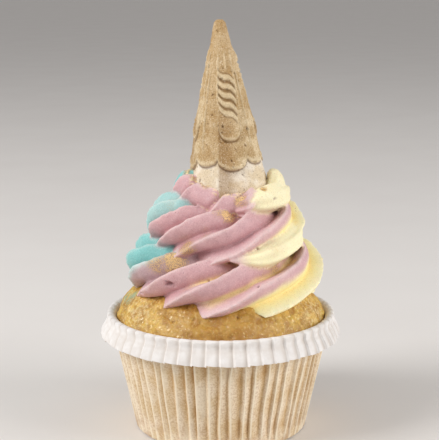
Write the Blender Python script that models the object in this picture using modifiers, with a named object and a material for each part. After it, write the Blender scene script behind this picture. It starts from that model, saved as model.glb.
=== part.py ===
"""A cupcake: pleated paper case, sponge, piped cream swirl and an upside-down wafer cone.

Metres, +Z up. The origin is the middle of the case's flat floor, and -Y is the front.
Azimuths are in degrees, 0 at the front (-Y) and growing towards +X.
"""

import math

import bmesh
import bpy
from mathutils import Matrix, Vector, noise

MM = 0.001
GAP = 0.35 * MM  # left between touching pieces

# Paper case
BASE_RADIUS = 24.95 * MM
WALL_SPREAD = 0.217  # the wall leans out by this much for each unit of height
FOLD_RADIUS = 32.4 * MM
FOLD_HEIGHT = 34.2 * MM
SKIRT_RADIUS = 34.9 * MM
SKIRT_HEIGHT = 27.9 * MM
PAPER = 0.35 * MM
PLEATS = 56
PLEAT_DEPTH = 1.15 * MM
COLLAR_PLEAT_DEPTH = 0.65 * MM
PLEAT_VALLEY_AT = 0.66  # share of a pleat's pitch at which its valley lies

# Sponge
CAKE_CLEAR = PLEAT_DEPTH + PAPER + 0.6 * MM
CAKE_FLOOR = PAPER + GAP
CAKE_EDGE_HEIGHT = 32.6 * MM
CAKE_EDGE_RADIUS = 30.0 * MM
CAKE_TOP = 45.5 * MM
CAKE_STEPS = 64
CRUMB = 0.7 * MM

# Piped cream
STAR_POINTS = 6
STAR_SAMPLES = 8  # outline points for each point of the star
STAR_GROOVE = 0.54  # groove radius for a crest radius of 1
STAR_GROOVE_AT = 0.28  # share of the pitch from a crest up to the groove over it, so ridges lean
STAR_FLANK = 1.3  # above 1, a ridge's slow face bulges
LOWEST_CREST = 100.0  # nozzle's turn in degrees when a crest comes out from under the rope
FOLD_POINTS = 3  # the last turn has fat folds in place of ridges
FOLD_SAMPLES = 16
FOLD_GROOVE = 0.62
LOWEST_FOLD = 40.0
TORN_GROOVE = 0.84  # groove radius of the torn curl and horn and of the sagging fold
PEAK_TURN, CURL_TURN = -8.0, 20.0  # nozzle's turn in degrees along the torn peak, and along the curl
ROPE_STEP = 4.0  # degrees of travel between two sections of the rope
STAR_TO, FOLDS_FROM = 612.0, 585.0  # travels where the ridges end and the folds begin
TORN_STEPS = 5  # sections for each span of the torn end and of the sagging fold
VOXEL = 0.45 * MM
CREAM_TRIANGLES = 6400
CREAM_UNEVEN = 0.35 * MM
CREAM_CORE_RADIUS = 12.5 * MM

# Wafer cone
CONE_LENGTH = 52.0 * MM
CONE_TIP = (-0.4 * MM, 0.0, 117.9 * MM)
CONE_LEAN = 2.8  # degrees, towards -X
CONE_STEPS = 64
PETAL_EDGES = (-14.0, 36.5, 76.0)  # azimuths of a wide petal and the narrow one after it, four times round
WIDE_PETAL, NARROW_PETAL = 3.4 * MM, 2.0 * MM  # how far they hang
DRAPE = 0.4 * MM  # thickness of the raised drape that ends in the petals
UPPER_PETAL = 0.3 * MM  # how far a second, upper petal stands out over each wide one
FLUTE_DEPTH = 1.4 * MM
FLUTE_DEEPEST, FLUTE_END = 17.0, 62.0  # degrees on from the edge of each wide petal


def clear_scene():
    for item in list(bpy.data.objects):
        bpy.data.objects.remove(item, do_unlink=True)


def new_collection(name):
    made = bpy.data.collections.new(name)
    bpy.context.scene.collection.children.link(made)
    return made


def material(name, colour, roughness):
    made = bpy.data.materials.new(name)
    made.use_nodes = True
    shader = made.node_tree.nodes["Principled BSDF"]
    shader.inputs["Base Color"].default_value = (*colour, 1.0)
    shader.inputs["Roughness"].default_value = roughness
    shader.inputs["Metallic"].default_value = 0.0
    return made


def smooth_step(low, high, value):
    t = min(max((value - low) / (high - low), 0.0), 1.0)
    return t * t * (3 - 2 * t)


def baked(item):
    """The object's modifiers turned into its mesh."""
    view = bpy.context.evaluated_depsgraph_get()
    mesh = bpy.data.meshes.new_from_object(item.evaluated_get(view))
    item.modifiers.clear()
    item.data = mesh
    return item


def turned(name, profile, steps, home):
    """A profile of (radius, height) points, listed from the top axis down the outer side, turned about Z."""
    mesh = bpy.data.meshes.new(name)
    points = [(radius, 0.0, height) for radius, height in profile]
    mesh.from_pydata(points, [(i, i + 1) for i in range(len(points) - 1)], [])
    item = bpy.data.objects.new(name, mesh)
    home.objects.link(item)
    screw = item.modifiers.new("turn", "SCREW")
    screw.steps = steps
    screw.render_steps = steps
    screw.use_merge_vertices = True
    screw.merge_threshold = 0.01 * MM
    screw.use_smooth_shade = True
    return baked(item)


def moved(item, place):
    """Moves each vertex of the mesh to place(position)."""
    for vertex in item.data.vertices:
        vertex.co = place(vertex.co.copy())
    item.data.update()


def polar(position):
    """Radius, azimuth in degrees and height."""
    azimuth = math.degrees(math.atan2(position.x, -position.y))
    return math.hypot(position.x, position.y), azimuth, position.z


def on_ring(radius, azimuth, height):
    turn = math.radians(azimuth)
    return Vector((radius * math.sin(turn), -radius * math.cos(turn), height))


def cut_by(item, cutter):
    """Takes the cutter's volume, and a gap round it, out of the item."""
    knife = cutter.copy()
    knife.data = cutter.data.copy()
    knife.data.transform(cutter.matrix_basis)
    knife.matrix_basis = Matrix.Identity(4)
    item.users_collection[0].objects.link(knife)
    normals = [vertex.normal.copy() for vertex in knife.data.vertices]
    for vertex, normal in zip(knife.data.vertices, normals):
        vertex.co += normal * GAP
    cut = item.modifiers.new("cut", "BOOLEAN")
    cut.operation = "DIFFERENCE"
    cut.solver = "EXACT"
    cut.object = knife
    baked(item)
    bpy.data.objects.remove(knife, do_unlink=True)


def keep_largest_piece(item):
    """Drops loose scraps that a cut leaves."""
    shape = bmesh.new()
    shape.from_mesh(item.data)
    unseen = set(shape.verts)
    pieces = []
    while unseen:
        piece = []
        reached = [unseen.pop()]
        while reached:
            vertex = reached.pop()
            piece.append(vertex)
            for edge in vertex.link_edges:
                other = edge.other_vert(vertex)
                if other in unseen:
                    unseen.remove(other)
                    reached.append(other)
        pieces.append(piece)
    pieces.sort(key=len)
    for piece in pieces[:-1]:
        bmesh.ops.delete(shape, geom=piece, context="VERTS")
    bmesh.ops.triangulate(shape, faces=shape.faces[:])
    shape.to_mesh(item.data)
    shape.free()


def wall_radius(height):
    return BASE_RADIUS + WALL_SPREAD * height


def paper_case(home):
    """A cup of pleated paper whose top is folded outwards and down into a skirt."""
    crease = (FOLD_RADIUS + 0.35 * MM, 31.6 * MM)
    profile = [
        (SKIRT_RADIUS, SKIRT_HEIGHT),
        crease,
        (FOLD_RADIUS + 0.25 * MM, FOLD_HEIGHT),
        (FOLD_RADIUS - 0.2 * MM, FOLD_HEIGHT - 0.3 * MM),
        (wall_radius(17.0 * MM), 17.0 * MM),
        (wall_radius(1.2 * MM), 1.2 * MM),
        (BASE_RADIUS - 1.4 * MM, 0.0),
        (0.0, 0.0),
    ]
    columns = 2 * PLEATS
    case = turned("paper_case", profile, columns, home)

    def pleat(position):
        radius, azimuth, height = polar(position)
        column = round((azimuth % 360.0) / 360.0 * columns)
        if radius < BASE_RADIUS - 0.9 * MM:
            return position
        depth = PLEAT_DEPTH * smooth_step(0.0, 8.0 * MM, height + 2.0 * MM)
        if radius > FOLD_RADIUS - 0.3 * MM:
            depth = COLLAR_PLEAT_DEPTH
        if column % 2:
            azimuth += (PLEAT_VALLEY_AT - 0.5) * 360.0 / PLEATS
            return on_ring(radius - depth, azimuth, height)
        return position

    moved(case, pleat)
    walls = case.modifiers.new("paper", "SOLIDIFY")
    walls.thickness = PAPER
    walls.offset = -1.0
    walls.use_even_offset = True
    return case


def sponge_cake(home):
    """The baked sponge: it fills the case and domes above it."""
    profile = [(0.0, CAKE_TOP)]
    for share in (0.3, 0.55, 0.7, 0.79, 0.84, 0.88, 0.915, 0.945, 0.97, 0.99, 1.0):
        rise = (1.0 - share**3.2) ** 0.62
        height = CAKE_EDGE_HEIGHT + (CAKE_TOP - CAKE_EDGE_HEIGHT) * rise
        profile.append((CAKE_EDGE_RADIUS * share, height))
    for height in (30.0 * MM, 15.0 * MM, 2.2 * MM):
        profile.append((wall_radius(height) - CAKE_CLEAR, height))
    profile.append((BASE_RADIUS - CAKE_CLEAR - 1.2 * MM, CAKE_FLOOR))
    profile.append((0.0, CAKE_FLOOR))
    cake = turned("sponge_cake", profile, CAKE_STEPS, home)

    def crumb(position):
        radius, azimuth, height = polar(position)
        raised = smooth_step(CAKE_EDGE_HEIGHT, CAKE_EDGE_HEIGHT + 3.0 * MM, height)
        swell = noise.noise(position * 130.0) + 0.7 * noise.noise(position * 380.0)
        return position + Vector((0.0, 0.0, CRUMB * raised * swell))

    moved(cake, crumb)
    return cake


# The rope of cream makes three turns: travel 0, 360 and 720 are at the front of each.
# Each station is (travel in degrees, path radius, path height, rope radius, sideways shift), in mm.
ROPE_STATIONS = [
    (-178.0, 17.0, 45.5, 3.0, 1.2),
    (-160.0, 18.0, 46.0, 8.0, 1.2),
    (-90.0, 18.5, 47.6, 10.0, 0.9),
    (-45.0, 18.6, 45.4, 9.7, 1.1),
    (0.0, 19.0, 43.9, 9.8, 1.2),
    (90.0, 18.9, 45.9, 9.8, 1.4),
    (150.0, 18.4, 46.8, 9.4, 1.4),
    (210.0, 16.0, 54.4, 8.8, 1.4),
    (275.0, 14.2, 60.8, 8.7, 1.3),
    (330.0, 14.2, 58.6, 9.0, 1.3),
    (370.0, 14.3, 57.3, 9.0, 1.3),
    (450.0, 14.4, 59.0, 8.7, 1.3),
    (520.0, 13.2, 62.4, 8.0, 1.6),
    (580.0, 10.8, 67.6, 6.8, 1.8),
    (640.0, 9.8, 69.3, 6.2, 2.2),
    (720.0, 10.4, 65.6, 5.6, 2.2),
    (752.0, 11.0, 65.6, 5.0, 2.2),
    (775.0, 11.4, 66.0, 2.5, 2.2),
]

# How many crests have come out from under the rope by each travel.
CRESTS_GONE = [
    (-205, 0), (-180, 1), (-155, 2), (-131, 3), (-108, 4), (-85, 5), (-68, 6), (-41, 7), (-16, 8),
    (20, 9), (95, 10), (127, 11), (159, 12), (191, 13), (220, 14), (249, 15), (276, 16), (296, 17),
    (318, 18), (349, 19), (386, 20), (450, 21), (480, 22), (510, 23), (540, 24), (570, 25),
    (600, 26), (630, 27),
]

# The same for the folds of the last turn, which come in jerks.
FOLDS_GONE = [
    (560, 25.3), (604, 26.0), (620, 26.8), (632, 27.0), (643, 27.8), (656, 28.0), (670, 28.85),
    (697, 29.0), (712, 29.85), (741, 30.0), (756, 30.9), (780, 31.2),
]

# The rope's torn end, right of the cone: a peak, a curl and a horn.
# Each point is (x, y, height, radius), in mm.
TORN_PEAK = [
    (4.4, -13.4, 65.8, 1.6),
    (6.6, -13.6, 66.8, 3.2),
    (7.9, -12.8, 68.8, 2.7),
    (8.4, -12.0, 70.7, 1.8),
    (8.6, -11.7, 72.3, 0.4),
]
TORN_CURL = [
    (7.8, -12.8, 67.6, 2.4),
    (10.4, -11.9, 68.2, 3.5),
    (13.2, -9.6, 68.6, 4.0),
    (15.6, -6.0, 68.8, 4.0),
    (17.0, -2.0, 69.0, 3.2),
    (17.2, 1.5, 69.0, 1.6),
]
TORN_HORN = [
    (15.4, -6.4, 68.0, 2.6),
    (15.7, -4.8, 70.2, 3.0),
    (15.6, -3.4, 72.2, 2.7),
    (15.2, -2.6, 74.0, 2.2),
    (14.7, -2.2, 75.3, 1.6),
    (14.5, -2.0, 76.0, 0.5),
]
# At the right, the second turn sags over the first in one smooth fold.
SAGGING_FOLD = [
    (11.0, -20.0, 53.4, 1.4),
    (14.4, -17.1, 54.9, 2.9),
    (17.5, -12.9, 55.9, 3.6),
    (19.5, -7.8, 56.7, 3.9),
    (19.9, -2.0, 57.5, 3.9),
    (19.5, 3.0, 58.5, 2.8),
]


def between(table, at, column):
    """Smoothly interpolated column of a table whose first column is ascending."""
    if at <= table[0][0]:
        return table[0][column]
    for low, high in zip(table, table[1:]):
        if at <= high[0]:
            share = smooth_step(low[0], high[0], at)
            return low[column] + (high[column] - low[column]) * share
    return table[-1][column]


def count_at(travel, table):
    """Straight interpolation in a table of (travel, count)."""
    for low, high in zip(table, table[1:]):
        if travel <= high[0]:
            return low[1] + (high[1] - low[1]) * (travel - low[0]) / (high[0] - low[0])
    return table[-1][1]


def rope_centre(travel):
    radius = between(ROPE_STATIONS, travel, 1) * MM
    height = between(ROPE_STATIONS, travel, 2) * MM
    shift = between(ROPE_STATIONS, travel, 4) * MM
    return on_ring(radius, travel, height) + Vector((shift, 0.0, 0.0))


def rope_points(first, last, lowest, points, gone):
    """Centre, radius and nozzle turn of the rope's sections between two travels."""
    count = round((last - first) / ROPE_STEP) + 1
    made = []
    for index in range(count):
        travel = first + (last - first) * index / (count - 1)
        radius = between(ROPE_STATIONS, travel, 3) * MM
        made.append((rope_centre(travel), radius, lowest - 360.0 / points * count_at(travel, gone)))
    return made


def torn_points(table, turn):
    """Centre, radius and nozzle turn on a smooth curve through a table of (x, y, height, radius)."""
    rows = [Vector(row) * MM for row in table]
    rows = [2 * rows[0] - rows[1]] + rows + [2 * rows[-1] - rows[-2]]
    made = []
    for before, low, high, after in zip(rows, rows[1:], rows[2:], rows[3:]):
        for step in range(TORN_STEPS):
            share = step / TORN_STEPS
            bend = (2 * before - 5 * low + 4 * high - after) * share**2
            twist = (3 * low - before - 3 * high + after) * share**3
            row = 0.5 * (2 * low + (high - before) * share + bend + twist)
            made.append((row.xyz, row.w, turn))
    made.append((rows[-2].xyz, rows[-2].w, turn))
    return made


def star_radius(share, groove):
    """Radius of a nozzle's outline at this share of one point's pitch."""
    if share < STAR_GROOVE_AT:
        fall = share / STAR_GROOVE_AT
    else:
        fall = ((1.0 - share) / (1.0 - STAR_GROOVE_AT)) ** STAR_FLANK
    return 1.0 - (1.0 - groove) * fall


def nozzle(name, points, samples, groove, guides):
    """A star nozzle's outline as a closed flat curve of radius 1."""
    curve = bpy.data.curves.new(name, "CURVE")
    curve.dimensions = "2D"
    spline = curve.splines.new("POLY")
    spline.points.add(points * samples - 1)
    for index in range(points * samples):
        pitch = index / samples
        angle = 2 * math.pi * pitch / points
        radius = star_radius(pitch % 1.0, groove)
        spline.points[index].co = (radius * math.cos(angle), radius * math.sin(angle), 0.0, 1.0)
    spline.use_cyclic_u = True
    star = bpy.data.objects.new(name, curve)
    star.hide_render = True
    star.display_type = "WIRE"
    guides.objects.link(star)
    return star


def swept(name, star, sections, guides):
    """The mesh of a nozzle's outline swept through these sections."""
    curve = bpy.data.curves.new(name, "CURVE")
    curve.dimensions = "3D"
    curve.twist_mode = "Z_UP"
    curve.bevel_mode = "OBJECT"
    curve.bevel_object = star
    curve.use_fill_caps = True
    spline = curve.splines.new("POLY")
    spline.points.add(len(sections) - 1)
    for point, (centre, radius, turn) in zip(spline.points, sections):
        point.co = (*centre, 1.0)
        point.radius = radius
        point.tilt = math.radians(turn)
    item = bpy.data.objects.new(name, curve)
    guides.objects.link(item)
    view = bpy.context.evaluated_depsgraph_get()
    mesh = bpy.data.meshes.new_from_object(item.evaluated_get(view))
    bpy.data.objects.remove(item, do_unlink=True)
    return mesh


def cream_sweeps(guides):
    """The ridged rope, its folded last turn, its torn end and the fold that sags."""
    star = nozzle("star_nozzle", STAR_POINTS, STAR_SAMPLES, STAR_GROOVE, guides)
    buckled = nozzle("buckled_nozzle", FOLD_POINTS, FOLD_SAMPLES, FOLD_GROOVE, guides)
    shallow = nozzle("shallow_nozzle", STAR_POINTS, STAR_SAMPLES, TORN_GROOVE, guides)
    ridges = rope_points(ROPE_STATIONS[0][0], STAR_TO, LOWEST_CREST, STAR_POINTS, CRESTS_GONE)
    folds = rope_points(FOLDS_FROM, ROPE_STATIONS[-1][0], LOWEST_FOLD, FOLD_POINTS, FOLDS_GONE)
    return [
        swept("ridged_rope", star, ridges, guides),
        swept("folded_rope", buckled, folds, guides),
        swept("torn_peak", star, torn_points(TORN_PEAK, PEAK_TURN), guides),
        swept("torn_curl", shallow, torn_points(TORN_CURL, CURL_TURN), guides),
        swept("torn_horn", shallow, torn_points(TORN_HORN, CURL_TURN), guides),
        swept("sagging_fold", shallow, torn_points(SAGGING_FOLD, CURL_TURN), guides),
    ]


def piped_cream(home, guides, cake, cone):
    """The swirl, cut to sit on the sponge and to take the cone."""
    core_profile = [
        (0.0, 68.5 * MM),
        (7.0 * MM, 68.0 * MM),
        (CREAM_CORE_RADIUS, 60.0 * MM),
        (CREAM_CORE_RADIUS + 3.0 * MM, 46.0 * MM),
        (CREAM_CORE_RADIUS + 4.0 * MM, 38.0 * MM),
        (0.0, 36.0 * MM),
    ]
    core = turned("cream_core", core_profile, 32, guides)
    shape = bmesh.new()
    for part in cream_sweeps(guides) + [core.data]:
        shape.from_mesh(part)
    bmesh.ops.remove_doubles(shape, verts=shape.verts[:], dist=0.01 * MM)
    mesh = bpy.data.meshes.new("piped_cream")
    shape.to_mesh(mesh)
    shape.free()
    bpy.data.objects.remove(core, do_unlink=True)
    cream = bpy.data.objects.new("piped_cream", mesh)
    home.objects.link(cream)
    fuse = cream.modifiers.new("fuse", "REMESH")
    fuse.mode = "VOXEL"
    fuse.voxel_size = VOXEL
    baked(cream)
    normals = [vertex.normal.copy() for vertex in cream.data.vertices]
    for vertex, normal in zip(cream.data.vertices, normals):
        vertex.co += normal * CREAM_UNEVEN * noise.noise(vertex.co * 300.0)
    thin = cream.modifiers.new("thin", "DECIMATE")
    thin.ratio = CREAM_TRIANGLES / (2.0 * len(cream.data.polygons))
    thin.use_collapse_triangulate = True
    baked(cream)
    cut_by(cream, cake)
    cut_by(cream, cone)
    keep_largest_piece(cream)
    return cream


def cone_radius(down):
    """Radius of the bare cone at this distance down from its tip."""
    widths = [
        (0.0, 0.0),
        (0.2, 0.95),
        (0.9, 1.6),
        (4.0, 2.35),
        (12.3, 4.1),
        (19.7, 6.0),
        (29.4, 8.3),
        (39.1, 10.1),
        (44.0, 11.3),
        (52.0, 13.3),
    ]
    down /= MM
    for low, high in zip(widths, widths[1:]):
        if down <= high[0]:
            return (low[1] + (high[1] - low[1]) * (down - low[0]) / (high[0] - low[0])) * MM
    return widths[-1][1] * MM


def petal_at(azimuth):
    """Which petal covers this azimuth, as its hang, and where in it, from -1 to 1."""
    first, middle, last = PETAL_EDGES
    turn = (azimuth - first) % (last - first)
    if turn < middle - first:
        return WIDE_PETAL, turn / (middle - first) * 2.0 - 1.0
    return NARROW_PETAL, (turn - middle + first) / (last - middle) * 2.0 - 1.0


def wafer_cone(home):
    """A moulded wafer cone standing on its mouth, with a raised drape that ends in petals."""
    draped_from = 9.5 * MM
    upper_hem, under_upper_hem = 32.6 * MM, 33.1 * MM
    hem, under_hem = 38.0 * MM, 38.5 * MM
    downs = [down * MM for down in (0.0, 0.2, 0.9, 4.0, 7.5, 9.5, 12.3, 19.7, 27.0)]
    downs += [upper_hem, under_upper_hem, hem, under_hem, 44.0 * MM, CONE_LENGTH]
    profile = [(cone_radius(down), CONE_LENGTH - down) for down in downs]
    profile.append((0.0, 0.0))
    cone = turned("wafer_cone", profile, CONE_STEPS, home)
    close = 0.05 * MM

    def relief(position):
        radius, azimuth, height = polar(position)
        down = CONE_LENGTH - height
        hang, across = petal_at(azimuth)
        curve = math.sqrt(max(1.0 - across * across, 0.0))
        upper = UPPER_PETAL if hang == WIDE_PETAL and abs(across) < 0.85 else 0.0
        if radius < 0.1 * MM:
            return position
        raised = DRAPE if draped_from - close < down < hem + close else 0.0
        if abs(down - upper_hem) < close or abs(down - under_upper_hem) < close:
            if down < upper_hem + close:
                raised += upper
            down += (2.5 * curve - 1.5) * MM if upper else 0.0
        elif down > hem - close:
            if down < under_hem + close:
                down += hang * curve
            off = (azimuth - PETAL_EDGES[0]) % (PETAL_EDGES[-1] - PETAL_EDGES[0])
            flute = smooth_step(0.0, FLUTE_DEEPEST, off) * smooth_step(FLUTE_END, FLUTE_DEEPEST, off)
            raised -= FLUTE_DEPTH * flute if down > hem + hang * curve + close else 0.0
        return on_ring(cone_radius(down) + raised, azimuth, CONE_LENGTH - down)

    moved(cone, relief)
    lean = math.radians(-CONE_LEAN)
    cone.rotation_euler = (0.0, lean, 0.0)
    axis = Vector((math.sin(lean), 0.0, math.cos(lean)))
    cone.location = Vector(CONE_TIP) - axis * CONE_LENGTH
    bpy.context.view_layer.update()
    return cone


def main():
    clear_scene()
    cupcake = new_collection("cupcake")
    guides = new_collection("guides")
    case = paper_case(cupcake)
    case.data.materials.append(material("greaseproof_paper", (0.62, 0.52, 0.38), 0.8))
    cake = sponge_cake(cupcake)
    cake.data.materials.append(material("vanilla_sponge", (0.60, 0.38, 0.13), 0.85))
    cone = wafer_cone(cupcake)
    cone.data.materials.append(material("gold_dusted_wafer", (0.62, 0.46, 0.27), 0.6))
    cream = piped_cream(cupcake, guides, cake, cone)
    cream.data.materials.clear()
    cream.data.materials.append(material("mauve_cream", (0.58, 0.33, 0.35), 0.5))
    for item in (case, cake, cone, cream):
        item.data.shade_smooth()
        item.data.set_sharp_from_angle(angle=math.radians(35.0))


main()
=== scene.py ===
# %% [markdown]
# A cupcake in a pleated paper case, with a piped swirl of three-coloured cream and a wafer
# cone stood upside down on top. The four pieces of the plain model are replaced here by finer
# ones at the same sizes, and each gets a finish that is made from nodes. Lengths below are in
# millimetres, and MM turns them into Blender's metres. -Y is the front, azimuth 0, and azimuths
# grow towards +X.

import math
import random

import bpy
import numpy as np
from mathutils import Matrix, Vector, kdtree, noise


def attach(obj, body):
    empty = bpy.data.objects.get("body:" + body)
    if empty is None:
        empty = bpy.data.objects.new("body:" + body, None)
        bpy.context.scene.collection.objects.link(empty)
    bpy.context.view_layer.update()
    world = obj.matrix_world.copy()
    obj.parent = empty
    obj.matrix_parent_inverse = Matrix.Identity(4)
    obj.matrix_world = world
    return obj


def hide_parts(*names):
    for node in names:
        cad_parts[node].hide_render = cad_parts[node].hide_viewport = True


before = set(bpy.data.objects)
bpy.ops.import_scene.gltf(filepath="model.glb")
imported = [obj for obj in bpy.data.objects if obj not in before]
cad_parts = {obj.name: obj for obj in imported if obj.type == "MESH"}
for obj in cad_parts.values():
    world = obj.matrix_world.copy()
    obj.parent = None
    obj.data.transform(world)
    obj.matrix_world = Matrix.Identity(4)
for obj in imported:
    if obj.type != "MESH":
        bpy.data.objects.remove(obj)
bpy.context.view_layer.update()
MM = 0.001
chance = random.Random(7)

# %% [markdown]
# Most of what follows is done with Blender's own operators, which act on whatever is selected.
# So each step first clears the selection, and then picks the one object it works on. A modifier
# is added and applied at once, which leaves a plain mesh that the next step can shape.


# %% Small helpers for selecting and applying
def select_nothing():
    if bpy.context.mode != "OBJECT":
        bpy.ops.object.mode_set(mode="OBJECT")
    bpy.ops.object.select_all(action="DESELECT")


def pick(item):
    select_nothing()
    item.select_set(True)
    bpy.context.view_layer.objects.active = item


def apply_modifier(item, kind, **settings):
    pick(item)
    bpy.ops.object.modifier_add(type=kind)
    modifier = item.modifiers[-1]
    for name, value in settings.items():
        setattr(modifier, name, value)
    bpy.ops.object.modifier_apply(modifier=modifier.name)


def triangles(item):
    return sum(len(face.vertices) - 2 for face in item.data.polygons)


# %% [markdown]
# Vertices are read and written as one table of numbers, because a finely crumbed or piped
# surface has tens of thousands of them. Round pieces are thought of in polar terms: how far
# from the axis, at which azimuth, and how high.


# %% Reading and writing vertices
def places_of(item):
    table = np.empty(len(item.data.vertices) * 3)
    item.data.vertices.foreach_get("co", table)
    return table.reshape(-1, 3) / MM


def normals_of(item):
    table = np.empty(len(item.data.vertices) * 3)
    item.data.vertices.foreach_get("normal", table)
    return table.reshape(-1, 3)


def put_places(item, places):
    item.data.vertices.foreach_set("co", (places * MM).ravel())
    item.data.update()


def to_polar(places):
    radius = np.hypot(places[:, 0], places[:, 1])
    azimuth = np.degrees(np.arctan2(places[:, 0], -places[:, 1]))
    return radius, azimuth, places[:, 2].copy()


def from_polar(radius, azimuth, height):
    turn = np.radians(azimuth)
    return np.stack([radius * np.sin(turn), -radius * np.cos(turn), height], -1)


def ease(low, high, value):
    share = np.clip((value - low) / (high - low), 0.0, 1.0)
    return share * share * (3.0 - 2.0 * share)


def rough(places, size, seed):
    """Smooth noise from -1 to 1 whose lumps are about this many millimetres apart."""
    shift = Vector((seed, seed * 1.7, -seed))
    return np.array([noise.noise(Vector(p) / size + shift) for p in places])


def give_attribute(item, name, values):
    layer = item.data.attributes.new(name, "FLOAT", "POINT")
    layer.data.foreach_set("value", np.asarray(values, dtype=np.float32))


# %% [markdown]
# A muffin case, a sponge and a cone are all turned shapes. By hand such a wall starts as a
# circle, whose edge is extruded and scaled again and again, one ring for each point of the
# outline. That keeps the vertices in neat rings and columns, so pleats and petals can later be
# pressed into them without tearing the mesh.


# %% Grow a turned wall ring by ring
def grow_rings(name, columns, outline, close_top=False):
    radius, height = outline[0]
    select_nothing()
    bpy.ops.mesh.primitive_circle_add(
        vertices=columns, radius=radius * MM, fill_type="NGON", location=(0, 0, height * MM)
    )
    item = bpy.context.object
    item.name = name
    item.data.name = name
    bpy.ops.object.transform_apply(location=True, rotation=True, scale=True)
    bpy.ops.object.mode_set(mode="EDIT")
    bpy.ops.mesh.select_mode(type="EDGE")
    bpy.ops.mesh.select_all(action="SELECT")
    for (r0, z0), (r1, z1) in zip(outline, outline[1:]):
        bpy.ops.mesh.extrude_edges_move(TRANSFORM_OT_translate={"value": (0, 0, (z1 - z0) * MM)})
        bpy.ops.transform.resize(value=(r1 / r0, r1 / r0, 1), center_override=(0, 0, 0))
    if close_top:
        bpy.ops.mesh.edge_face_add()
    bpy.ops.mesh.select_all(action="SELECT")
    bpy.ops.mesh.normals_make_consistent(inside=False)
    bpy.ops.object.mode_set(mode="OBJECT")
    return item


def finish_piece(item, node, smooth_angle):
    pick(item)
    bpy.ops.object.shade_smooth_by_angle(angle=math.radians(smooth_angle))
    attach(item, "root")
    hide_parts(node)
    print(item.name, triangles(item), "triangles")


# %% [markdown]
# A finish starts from the Principled shader. The photo's colours are written as they are seen
# on a screen, from 0 to 255, and turned into the light values that Blender counts in. A small
# helper adds nodes and joins them, so that each finish below reads as a list of its layers.


# %% Helpers for finishes
def screen(red, green, blue):
    def light(value):
        value /= 255.0
        return value / 12.92 if value <= 0.04045 else ((value + 0.055) / 1.055) ** 2.4

    return (light(red), light(green), light(blue), 1.0)


class Finish:
    """A material's nodes, with short words for adding and joining them."""

    def __init__(self, name):
        self.material = bpy.data.materials.new(name)
        self.material.use_nodes = True
        self.nodes = self.material.node_tree.nodes
        self.links = self.material.node_tree.links
        self.shader = self.nodes["Principled BSDF"]
        self.place = self.add("ShaderNodeTexCoord").outputs["Object"]

    def add(self, kind, **settings):
        node = self.nodes.new(kind)
        for name, value in settings.items():
            setattr(node, name, value)
        return node

    def feed(self, socket, value):
        if isinstance(value, bpy.types.NodeSocket):
            self.links.new(value, socket)
        else:
            socket.default_value = value

    def grain(self, size, detail=3.0, roughness=0.55, stretch=(1, 1, 1)):
        """Noise from about 0.3 to 0.7, with lumps this many millimetres apart."""
        node = self.add("ShaderNodeTexNoise")
        place = self.place
        if stretch != (1, 1, 1):
            turn = self.add("ShaderNodeMapping")
            turn.inputs["Scale"].default_value = stretch
            self.feed(turn.inputs["Vector"], place)
            place = turn.outputs["Vector"]
        self.feed(node.inputs["Vector"], place)
        node.inputs["Scale"].default_value = 1.0 / (size * MM)
        node.inputs["Detail"].default_value = detail
        node.inputs["Roughness"].default_value = roughness
        return node.outputs["Fac"]

    def cells(self, size):
        """The distance to the middle of the nearest cell, with cells of about this many millimetres."""
        node = self.add("ShaderNodeTexVoronoi")
        self.feed(node.inputs["Vector"], self.place)
        node.inputs["Scale"].default_value = 1.0 / (size * MM)
        return node.outputs["Distance"]

    def per_vertex(self, name):
        """The piece's own attribute of this name."""
        return self.add("ShaderNodeAttribute", attribute_name=name).outputs["Fac"]

    def reach(self, value, low, high, to_low=0.0, to_high=1.0):
        node = self.add("ShaderNodeMapRange", interpolation_type="SMOOTHSTEP")
        self.feed(node.inputs["Value"], value)
        node.inputs["From Min"].default_value = low
        node.inputs["From Max"].default_value = high
        node.inputs["To Min"].default_value = to_low
        node.inputs["To Max"].default_value = to_high
        return node.outputs["Result"]

    def sum(self, operation, first, second=0.5):
        node = self.add("ShaderNodeMath", operation=operation)
        self.feed(node.inputs[0], first)
        self.feed(node.inputs[1], second)
        return node.outputs["Value"]

    def mix(self, share, first, second, blend="MIX"):
        node = self.add("ShaderNodeMix", data_type="RGBA", blend_type=blend)
        self.feed(node.inputs["Factor"], share)
        self.feed(node.inputs["A"], first)
        self.feed(node.inputs["B"], second)
        return node.outputs["Result"]

    def bumps(self, *layers):
        """Each layer is (height from 0 to 1, depth in millimetres)."""
        below = None
        for height, depth in layers:
            node = self.add("ShaderNodeBump")
            node.inputs["Distance"].default_value = depth * MM
            self.feed(node.inputs["Height"], height)
            if below is not None:
                self.links.new(below, node.inputs["Normal"])
            below = node.outputs["Normal"]
        self.links.new(below, self.shader.inputs["Normal"])

    def on(self, item):
        item.data.materials.clear()
        item.data.materials.append(self.material)
        print(self.material.name, "has", len(self.nodes), "nodes")


# %% [markdown]
# **The paper case.** It is one disc of greaseproof paper, pressed into a cup with 56 knife
# pleats. The top of the wall leans in against the sponge, and the rim is folded over it in a
# broad rounded brim, outwards and down into a short collar. An array of one pleat would look
# stamped. Here each ring has ten vertices for a pleat, and the pleats are pressed in by moving
# those vertices, so every pleat can have its own width, depth and wander down the wall, while
# the vertex on a crease stays on the crease.

# %% The case's outline and its rings
PLEATS = 56
PLEAT_PHASES = np.array([0.0, 0.05, 0.2, 0.4, 0.58, 0.7, 0.78, 0.85, 0.92, 0.97])
PLEAT_FALL = np.array([0.0, 0.04, 0.2, 0.48, 0.76, 0.93, 1.0, 0.8, 0.42, 0.12])
PAPER = 0.16
# How far through a pleat the collar's fold lies.
COLLAR_FOLD_AT = 0.84

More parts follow.
